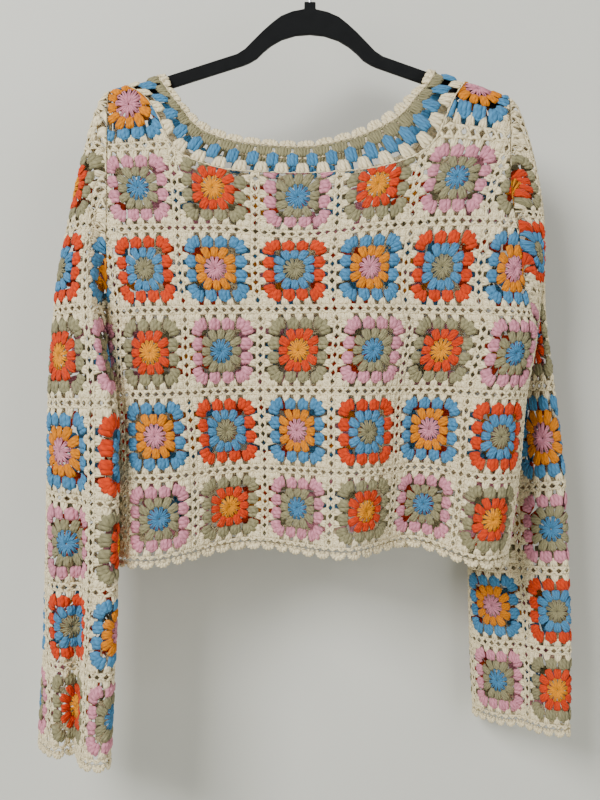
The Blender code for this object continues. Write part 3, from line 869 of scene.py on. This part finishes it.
def crochet(name, spot, squares, nodes):
    """Crochet a panel or a sleeve in two pieces: its colours and its cream joining."""
    sizes = bpy.context.scene.sweater_sizes
    full_tube, slim_tube = tubes()
    pieces = []
    for ending, rounds in (("_squares", square_colours()), ("_joining", square_border())):
        work = Work(Drape.shape(name), spot, sizes.square)
        full, slim = rounds
        for column, centre, heights, kind in squares:
            for stitches, tube in ((full, full_tube), (slim, slim_tube)):
                work.add(stitches, tube, (column, centre), KINDS[kind], sizes.looseness,
                         heights)
        piece = finished(name + ending, work)
        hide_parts(*nodes)
        pieces.append(piece)
    return pieces


def node(tree, kind, **values):
    """Add a shader node, and set its properties and its inputs by name."""
    made = tree.nodes.new(kind)
    for name, value in values.items():
        if hasattr(made, name):
            setattr(made, name, value)
        else:
            made.inputs[name].default_value = value
    return made


def calculate(tree, operation, *values):
    """Add a Math node between values or links, and return its result."""
    made = tree.nodes.new("ShaderNodeMath")
    made.operation = operation
    for socket, value in zip(made.inputs, values):
        if isinstance(value, (int, float)):
            socket.default_value = value
        else:
            tree.links.new(value, socket)
    return made.outputs[0]


def grains(tree, *kinds):
    """Noises over a piece's own space, each of a scale, a detail and a roughness."""
    place = tree.nodes.new("ShaderNodeTexCoord").outputs["Object"]
    made = []
    for scale, detail, roughness in kinds:
        noise = node(tree, "ShaderNodeTexNoise", Scale=scale, Detail=detail,
                     Roughness=roughness)
        tree.links.new(place, noise.inputs["Vector"])
        made.append(noise.outputs[0])
    return made


def relief(tree, shader, height, strength, distance):
    """Raise a shader's surface by a height."""
    bump = node(tree, "ShaderNodeBump", Strength=strength, Distance=distance)
    tree.links.new(height, bump.inputs["Height"])
    tree.links.new(bump.outputs["Normal"], shader.inputs["Normal"])


def mixed(tree, share, first, second, blend="MIX"):
    """Add a colour mix of two colours or links, and return its result."""
    made = tree.nodes.new("ShaderNodeMix")
    made.data_type = "RGBA"
    made.blend_type = blend
    for socket, value in zip((made.inputs[0], made.inputs[6], made.inputs[7]),
                             (share, first, second)):
        if isinstance(value, (int, float)):
            socket.default_value = value
        elif isinstance(value, tuple):
            socket.default_value = (*value, 1.0)
        else:
            tree.links.new(value, socket)
    return made.outputs[2]


def yarn_group():
    """Twisted yarn: ply grooves from the strand map, with painted shade darkening the colour in
    the grooves, fibre noise and a tone per stitch.
    """
    if "twisted_yarn" in bpy.data.node_groups:
        return bpy.data.node_groups["twisted_yarn"]
    group = bpy.data.node_groups.new("twisted_yarn", "ShaderNodeTree")
    face = group.interface
    face.new_socket("Colour", in_out="INPUT", socket_type="NodeSocketColor")
    # the groove input sets how dark the painted shade in the ply grooves is
    for name, value in (("Plies", 3.0), ("Twists", 160.0), ("GrooveShade", 0.45), ("Tone", 0.2)):
        socket = face.new_socket(name, in_out="INPUT", socket_type="NodeSocketFloat")
        socket.default_value = value
    face.new_socket("Colour", in_out="OUTPUT", socket_type="NodeSocketColor")
    face.new_socket("Height", in_out="OUTPUT", socket_type="NodeSocketFloat")
    face.new_socket("Roughness", in_out="OUTPUT", socket_type="NodeSocketFloat")
    given = group.nodes.new("NodeGroupInput").outputs
    strand = node(group, "ShaderNodeUVMap", uv_map="strand")
    parts = group.nodes.new("ShaderNodeSeparateXYZ")
    group.links.new(strand.outputs["UV"], parts.inputs[0])
    run = calculate(group, "MULTIPLY", parts.outputs[0], given["Twists"])
    round_it = calculate(group, "MULTIPLY", parts.outputs[1], given["Plies"])
    phase = calculate(group, "MULTIPLY", calculate(group, "ADD", run, round_it), math.tau)
    wave = calculate(group, "MULTIPLY_ADD", calculate(group, "SINE", phase), 0.5, 0.5)
    fibre, patch = grains(group, (1400.0, 3.0, 0.65), (45.0, 2.0, 0.5))
    # painted shade: the yarn's colour is darkened in the ply grooves, where shade falls between
    # the plies
    groove_shade = mixed(group, 1.0, given["Colour"], (0.50, 0.47, 0.44), "MULTIPLY")
    groove = calculate(group, "SUBTRACT", 1.0, wave)
    groove = calculate(group, "MULTIPLY", groove, given["GrooveShade"])
    colour = mixed(group, groove, given["Colour"], groove_shade)
    light = mixed(group, 1.0, colour, (1.25, 1.25, 1.25), "MULTIPLY")
    speck = calculate(group, "MULTIPLY_ADD", fibre, 1.6, -0.45)
    colour = mixed(group, speck, colour, light)
    tone = node(group, "ShaderNodeAttribute", attribute_name="tone")
    lift = calculate(group, "ADD", tone.outputs["Fac"], patch)
    lift = calculate(group, "MULTIPLY_ADD", calculate(group, "SUBTRACT", lift, 1.0),
                     given["Tone"], 1.0)
    shade = node(group, "ShaderNodeCombineColor")
    for socket in shade.inputs[:3]:
        group.links.new(lift, socket)
    colour = mixed(group, 1.0, colour, shade.outputs[0], "MULTIPLY")
    height = calculate(group, "MULTIPLY_ADD", fibre, 0.35, wave)
    rough = calculate(group, "MULTIPLY_ADD", fibre, 0.15, 0.78)
    result = group.nodes.new("NodeGroupOutput").inputs
    group.links.new(colour, result["Colour"])
    group.links.new(height, result["Height"])
    group.links.new(rough, result["Roughness"])
    return group


def new_material(name):
    """An empty material with its shader and its output."""
    made = bpy.data.materials.new(name)
    made.use_nodes = True
    return made, made.node_tree, made.node_tree.nodes["Principled BSDF"]


def yarn_material(yarn):
    """Cotton yarn in one colour."""
    name = yarn + "_yarn"
    if name in bpy.data.materials:
        return bpy.data.materials[name]
    colours = bpy.context.scene.sweater_colours
    sizes = bpy.context.scene.sweater_sizes
    made, tree, shader = new_material(name)
    group = tree.nodes.new("ShaderNodeGroup")
    group.node_tree = yarn_group()
    group.inputs["Colour"].default_value = (*getattr(colours, yarn), 1.0)
    group.inputs["Plies"].default_value = sizes.plies
    group.inputs["Twists"].default_value = 1.0 / sizes.twist
    relief(tree, shader, group.outputs["Height"], 0.55, 0.0007)
    tree.links.new(group.outputs["Colour"], shader.inputs["Base Color"])
    tree.links.new(group.outputs["Roughness"], shader.inputs["Roughness"])
    shader.inputs["Sheen Weight"].default_value = 0.06
    shader.inputs["Sheen Roughness"].default_value = 0.5
    shader.inputs["Specular IOR Level"].default_value = 0.15
    return made


def velvet_material():
    """Flocked black velvet: a fine nap with worn, lighter patches."""
    made, tree, shader = new_material("black_velvet")
    nap, brushed = grains(tree, (2600.0, 2.0, 0.7), (60.0, 3.0, 0.55))
    colour = bpy.context.scene.sweater_colours.velvet
    bright = tuple(value * 2.4 + 0.004 for value in colour)
    patches = calculate(tree, "MULTIPLY", brushed, nap)
    tree.links.new(mixed(tree, patches, tuple(colour), bright), shader.inputs["Base Color"])
    relief(tree, shader, nap, 0.5, 0.0003)
    shader.inputs["Roughness"].default_value = 0.92
    shader.inputs["Sheen Weight"].default_value = 0.15
    shader.inputs["Sheen Roughness"].default_value = 0.4
    shader.inputs["Specular IOR Level"].default_value = 0.2
    return made


def wire_material():
    """Bright zinc-plated wire, faintly drawn along and dulled."""
    made, tree, shader = new_material("plated_wire")
    drawn, dull = grains(tree, (900.0, 3.0, 0.6), (120.0, 2.0, 0.5))
    colour = bpy.context.scene.sweater_colours.wire
    deep = tuple(value * 0.75 for value in colour)
    tree.links.new(mixed(tree, dull, deep, tuple(colour)), shader.inputs["Base Color"])
    rough = calculate(tree, "MULTIPLY_ADD", dull, 0.25, 0.18)
    tree.links.new(rough, shader.inputs["Roughness"])
    relief(tree, shader, drawn, 0.12, 0.0002)
    shader.inputs["Metallic"].default_value = 1.0
    return made


def one_sided_paint(name, colour, roughness):
    """Plain matt paint that shows on a stage's front and lets the view in from behind."""
    made, tree, shader = new_material(name)
    shader.inputs["Base Color"].default_value = (*colour, 1.0)
    shader.inputs["Roughness"].default_value = roughness
    clear = tree.nodes.new("ShaderNodeBsdfTransparent")
    behind = tree.nodes.new("ShaderNodeNewGeometry")
    either = tree.nodes.new("ShaderNodeMixShader")
    tree.links.new(behind.outputs["Backfacing"], either.inputs[0])
    tree.links.new(shader.outputs[0], either.inputs[1])
    tree.links.new(clear.outputs[0], either.inputs[2])
    tree.links.new(either.outputs[0], tree.nodes["Material Output"].inputs["Surface"])
    return made


def colour_to_choose(name, description, *screen):
    """A colour property, its default given as it looks on a screen."""
    return FloatVectorProperty(name=name, description=description, subtype="COLOR", size=3,
                               min=0.0, max=1.0, default=linear(*screen))


def length_to_choose(name, description, default, least, most):
    """A length property in metres."""
    return FloatProperty(name=name, description=description, default=default, min=least,
                         max=most, subtype="DISTANCE", unit="LENGTH")


class SweaterSizes(bpy.types.PropertyGroup):
    """Sizes of the yarn and of the hand work."""

    square: length_to_choose("Square", "Side of one granny square", 0.088, 0.04, 0.2)
    twist: length_to_choose("Twist", "Length of yarn in one full twist", 0.0062, 0.002, 0.02)
    plies: IntProperty(
        name="Plies", description="Plies twisted into the yarn", default=3, min=1, max=6)
    looseness: FloatProperty(
        name="Looseness", description="How far a stitch strays, as a share of a square",
        default=0.003, min=0.0, max=0.02, subtype="FACTOR")


class SweaterColours(bpy.types.PropertyGroup):
    """Colours of the yarns, the hanger and the stage."""

    cream: colour_to_choose("Cream", "Yarn of the borders", 230, 216, 177)
    pink: colour_to_choose("Pink", "Pink yarn", 200, 132, 148)
    sage: colour_to_choose("Sage", "Grey-green yarn", 136, 130, 98)
    blue: colour_to_choose("Blue", "Sky-blue yarn", 70, 126, 166)
    red: colour_to_choose("Red orange", "Red-orange yarn", 196, 58, 20)
    mustard: colour_to_choose("Mustard", "Mustard yarn", 206, 122, 10)
    orange: colour_to_choose("Orange yellow", "Orange-yellow yarn", 222, 142, 10)
    velvet: colour_to_choose("Velvet", "Flocking of the hanger", 8, 9, 10)
    wire: colour_to_choose("Wire", "Plated wire of the hook", 196, 196, 198)
    wall: colour_to_choose("Stage", "Pale floor and backdrop", 206, 206, 197)


class StageSizes(bpy.types.PropertyGroup):
    """Places of the camera, the floor and the backdrop."""

    distance: length_to_choose("Camera distance", "From the camera to the hanger's plane",
                               1.0, 0.3, 5.0)
    lens: FloatProperty(
        name="Lens", description="Focal length of the camera in millimetres",
        default=39.47, min=10.0, max=200.0)
    floor: length_to_choose("Floor", "Height of the floor below the hanger's hook",
                            -1.25, -3.0, -1.0)
    backdrop: length_to_choose("Backdrop", "From the hanger to the wall behind it",
                               0.13, 0.12, 3.0)
    light: FloatProperty(
        name="Light", description="Power of the main lamp", default=11.8,
        min=0.0, max=500.0, unit="POWER")


def crochet_panel(side, span, columns, mirrored):
    """Crochet the front or the back."""
    colours, joining = crochet(side, panel_spot(span, mirrored), panel_squares(columns),
                               (side,))


class SWEATER_OT_front(bpy.types.Operator):
    """Crochet the front of the sweater"""

    bl_idname = "sweater.front"
    bl_label = "Front"

    def execute(self, context):
        crochet_panel("front", FRONT_SPAN, FRONT_COLUMNS, False)
        return {"FINISHED"}


class SWEATER_OT_back(bpy.types.Operator):
    """Crochet the back of the sweater"""

    bl_idname = "sweater.back"
    bl_label = "Back"

    def execute(self, context):
        crochet_panel("back", BACK_SPAN, BACK_COLUMNS, True)
        return {"FINISHED"}


class SWEATER_OT_sleeves(bpy.types.Operator):
    """Crochet both sleeves"""

    bl_idname = "sweater.sleeves"
    bl_label = "Sleeves"

    def execute(self, context):
        halves = ("sleeve_right_upper", "sleeve_right_lower")
        for name, plan, levels, nodes in (
                ("sleeve_left", LEFT_PLAN, LEFT_LEVELS, ("sleeve_left",)),
                ("sleeve_right", RIGHT_PLAN, RIGHT_LEVELS, halves)):
            spot = sleeve_spot(Drape.shape(name), plan, levels)
            colours, joining = crochet(name, spot, sleeve_squares(), nodes)
        return {"FINISHED"}


def band_stitches():
    """One repeat of the neck band's clusters, from its sewn edge to its trim."""
    cream, blue, sage = BAND_ROLES
    full = []
    slim = []
    for k in range(3):
        x = (k + 0.5) / 3.0
        slim.append(chain(x, 0.19, (0.0, 0.03), (0.0012, 0.0018), (0.060, 0.0012), cream))
    full += cluster((0.25, 0.02), (0.25, 0.62), (0.21, 0.20, 0.09), (0.125, 0.0015),
                    (0.0, 0.0015, 0.0004), cream)
    for x in (0.25, 0.75):
        slim.append(chain(x, 0.28, (0.50, 0.47), (-0.0006, -0.0006), (0.035, 0.0008),
                          cream))
    full += cluster((0.75, 0.44), (0.75, 1.15), (0.11, 0.20, 0.12), (0.130, 0.0018),
                    (0.0002, 0.0019, 0.0006), blue)
    slim.append(chain(0.75, 0.17, (1.10, 1.17), (0.0004, 0.0010), (0.055, 0.0010), blue))
    full += cluster((0.25, 1.00), (0.25, 1.50), (0.27, 0.32, 0.36), (0.105, 0.0016),
                    (0.0, 0.0014, 0.0005), sage, 5)
    for x in (0.25, 0.75):
        slim.append(chain(x, 0.29, (1.45, 1.49), (0.0002, 0.0008), (0.075, 0.0010), sage))
    return np.array(full), np.array(slim)


def trim_stitches():
    """One repeat of the cream trim of the neck band: posts, a chain and a scallop."""
    cream = BAND_ROLES[0]
    full = []
    slim = []
    for k in range(3):
        x = (k + 0.5) / 3.0
        full.append(stitch([(x - 0.03, 1.50), (x, 1.61), (x + 0.03, 1.74)],
                           (0.0, 0.0011, 0.0007), (0.175, 0.0013), cream))
    for k in range(4):
        x = (k + 0.5) / 4.0
        slim.append(chain(x, 0.14, (1.54, 1.57), (0.0016, 0.0023), (0.040, 0.0011), cream))
    for k in range(5):
        angle = math.radians(-64.0 + 32.0 * k)
        full.append(stitch([(0.5 + 0.30 * math.sin(angle), 1.66),
                            (0.5 + 0.40 * math.sin(angle), 1.72 + 0.09 * math.cos(angle)),
                            (0.5 + 0.47 * math.sin(angle), 1.72 + 0.22 * math.cos(angle))],
                           (0.0, 0.0012, 0.0002), (0.115, 0.0015), cream))
    return np.array(full), np.array(slim)


class SWEATER_OT_neck_band(bpy.types.Operator):
    """Crochet the two halves of the neck band"""

    bl_idname = "sweater.neck_band"
    bl_label = "Neck band"

    def execute(self, context):
        full_tube, slim_tube = tubes()
        spot = repeat_spot(BAND_REPEATS, BAND_DEPTH, False)
        for side in ("front", "back"):
            for name, rounds in (("clusters", band_stitches()), ("trim", trim_stitches())):
                work = Work(Drape.shape("band_" + side), spot, 0.02)
                full, slim = rounds
                for repeat in range(BAND_REPEATS):
                    work.add(full, full_tube, (repeat, 0.0), BAND_YARNS, 0.012)
                    work.add(slim, slim_tube, (repeat, 0.0), BAND_YARNS, 0.008)
                piece = finished("band_" + side + "_" + name, work)
                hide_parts("neck_band_" + side)
        return {"FINISHED"}


def shell_stitches():
    """One shell of the edging: short posts, a slit, a fan and its scalloped edge."""
    full = []
    slim = []
    for k in range(3):
        x = (k + 0.5) / 3.0
        slim.append(stitch([(x, -0.08), (x, 0.03), (x, 0.14)],
                           (0.0, 0.0009, 0.0), (0.16, 0.0012), 0))
        slim.append(chain(x, 0.17, (0.14, 0.16), (0.0008, 0.0014), (0.05, 0.0010), 0))
    for k in range(6):
        angle = math.radians(-75.0 + 30.0 * k)
        head = (0.5 + 0.46 * math.sin(angle), 0.18 + 0.46 * math.cos(angle))
        middle = (0.5 + 0.34 * math.sin(angle), 0.18 + 0.24 * math.cos(angle))
        full.append(stitch([(0.5 + 0.20 * math.sin(angle), 0.18), middle, head],
                           (0.0, 0.0012, 0.0002), (0.105, 0.0013), 0))
    return np.array(full), np.array(slim)


def edging(name, shape, node_name, shells):
    """A round of shells along the hem or a cuff."""
    full_tube, slim_tube = tubes()
    work = Work(Drape.shape(shape), repeat_spot(shells, SHELL_DEPTH, True), 0.0156)
    full, slim = shell_stitches()
    for shell in range(shells):
        work.add(full, full_tube, (shell, 0.0), ("cream",), 0.015)
        work.add(slim, slim_tube, (shell, 0.0), ("cream",), 0.010)
    piece = finished(name, work)
    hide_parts(node_name)
    return piece


class SWEATER_OT_edgings(bpy.types.Operator):
    """Crochet the shell edgings of the hem and the cuffs"""

    bl_idname = "sweater.edgings"
    bl_label = "Edgings"

    def execute(self, context):
        edging("hem_shells", "hem", "hem_edging", 2 * HEM_SHELLS)
        edging("cuff_shells_left", "cuff_left", "cuff_edging_left", CUFF_SHELLS)
        edging("cuff_shells_right", "cuff_right", "cuff_edging_right", CUFF_SHELLS)
        return {"FINISHED"}


class SWEATER_OT_hanger(bpy.types.Operator):
    """Finish the hanger's bar in velvet and its hook in plated wire"""

    bl_idname = "sweater.hanger"
    bl_label = "Hanger"

    def execute(self, context):
        for name, finish in (("hanger_bar", velvet_material()),
                             ("hanger_hook", wire_material())):
            kept = frame["nodes"][name]
            if not kept.material_slots:
                kept.data.materials.append(finish)
            for place in kept.material_slots:
                place.material = finish
        return {"FINISHED"}


def lamp(name, place, aim, size, power):
    """A large soft lamp at a place, turned to what it lights."""
    made = bpy.data.lights.new(name, "AREA")
    made.shape = "RECTANGLE"
    made.size, made.size_y = size
    made.energy = power
    thing = bpy.data.objects.new(name, made)
    thing.location = place
    way = np.array(aim) - np.array(place)
    flat = math.hypot(way[0], way[1])
    thing.rotation_euler = (math.atan2(flat, -way[2]), 0.0,
                            math.atan2(way[1], way[0]) - math.pi / 2.0)
    bpy.context.scene.collection.objects.link(thing)


class SWEATER_OT_stage(bpy.types.Operator):
    """Set up the floor, the backdrop, the soft light and the camera"""

    bl_idname = "sweater.stage"
    bl_label = "Stage"

    def execute(self, context):
        stage = context.scene.sweater_stage
        paint = one_sided_paint("stage_paint", context.scene.sweater_colours.wall, 0.9)
        deselect_all()
        bpy.ops.mesh.primitive_plane_add(size=8.0, location=(0.0, 0.0, stage.floor))
        floor = context.object
        floor.name = "floor"
        deselect_all()
        bpy.ops.mesh.primitive_plane_add(size=8.0, location=(0.0, stage.backdrop, 0.0),
                                         rotation=(math.pi / 2.0, 0.0, 0.0))
        backdrop = context.object
        backdrop.name = "backdrop"
        for thing in (floor, backdrop):
            thing.data.materials.append(paint)
        middle = (0.0, 0.0, -0.5)
        lamp("main_lamp", (-1.5, -2.2, 1.0), middle, (1.2, 1.2), stage.light * 11.0)
        lamp("fill_lamp", (2.0, -2.0, -0.2), middle, (2.0, 2.0), stage.light * 3.5)
        world = bpy.data.worlds.new("room")
        world.use_nodes = True
        sky = world.node_tree.nodes["Background"]
        sky.inputs[0].default_value = (0.90, 0.95, 1.0, 1.0)
        sky.inputs[1].default_value = 0.12
        context.scene.world = world
        seen = bpy.data.cameras.new("camera")
        seen.sensor_fit = "AUTO"
        seen.sensor_width = 36.0
        seen.lens = stage.lens
        camera = bpy.data.objects.new("camera", seen)
        camera.location = (CAMERA_ASIDE, -stage.distance, CAMERA_HEIGHT)
        camera.rotation_euler = (math.pi / 2.0, 0.0, 0.0)
        context.scene.collection.objects.link(camera)
        context.scene.camera = camera
        return {"FINISHED"}


STEPS = (SWEATER_OT_stage, SWEATER_OT_front, SWEATER_OT_back, SWEATER_OT_sleeves,
         SWEATER_OT_neck_band, SWEATER_OT_edgings, SWEATER_OT_hanger)


class SWEATER_PT_panel(bpy.types.Panel):
    """Lists the sweater's pieces, sizes and colours"""

    bl_label = "Granny Square Sweater"
    bl_idname = "SWEATER_PT_panel"
    bl_space_type = "VIEW_3D"
    bl_region_type = "UI"
    bl_category = "Sweater"

    def draw(self, context):
        for group in ("sweater_sizes", "sweater_colours", "sweater_stage"):
            box = self.layout.box()
            settings = getattr(context.scene, group)
            for name in settings.bl_rna.properties.keys():
                if name not in ("rna_type", "name"):
                    box.prop(settings, name)
        for step in STEPS:
            self.layout.operator(step.bl_idname)


CLASSES = (SweaterSizes, SweaterColours, StageSizes, *STEPS, SWEATER_PT_panel)


def register():
    for kind in CLASSES:
        bpy.utils.register_class(kind)
    bpy.types.Scene.sweater_sizes = PointerProperty(type=SweaterSizes)
    bpy.types.Scene.sweater_colours = PointerProperty(type=SweaterColours)
    bpy.types.Scene.sweater_stage = PointerProperty(type=StageSizes)


def unregister():
    del bpy.types.Scene.sweater_stage
    del bpy.types.Scene.sweater_colours
    del bpy.types.Scene.sweater_sizes
    for kind in reversed(CLASSES):
        bpy.utils.unregister_class(kind)


def main():
    register()
    bpy.ops.sweater.stage()
    bpy.ops.sweater.front()
    bpy.ops.sweater.back()
    bpy.ops.sweater.sleeves()
    bpy.ops.sweater.neck_band()
    bpy.ops.sweater.edgings()
    bpy.ops.sweater.hanger()


if __name__ == "__main__":
    main()
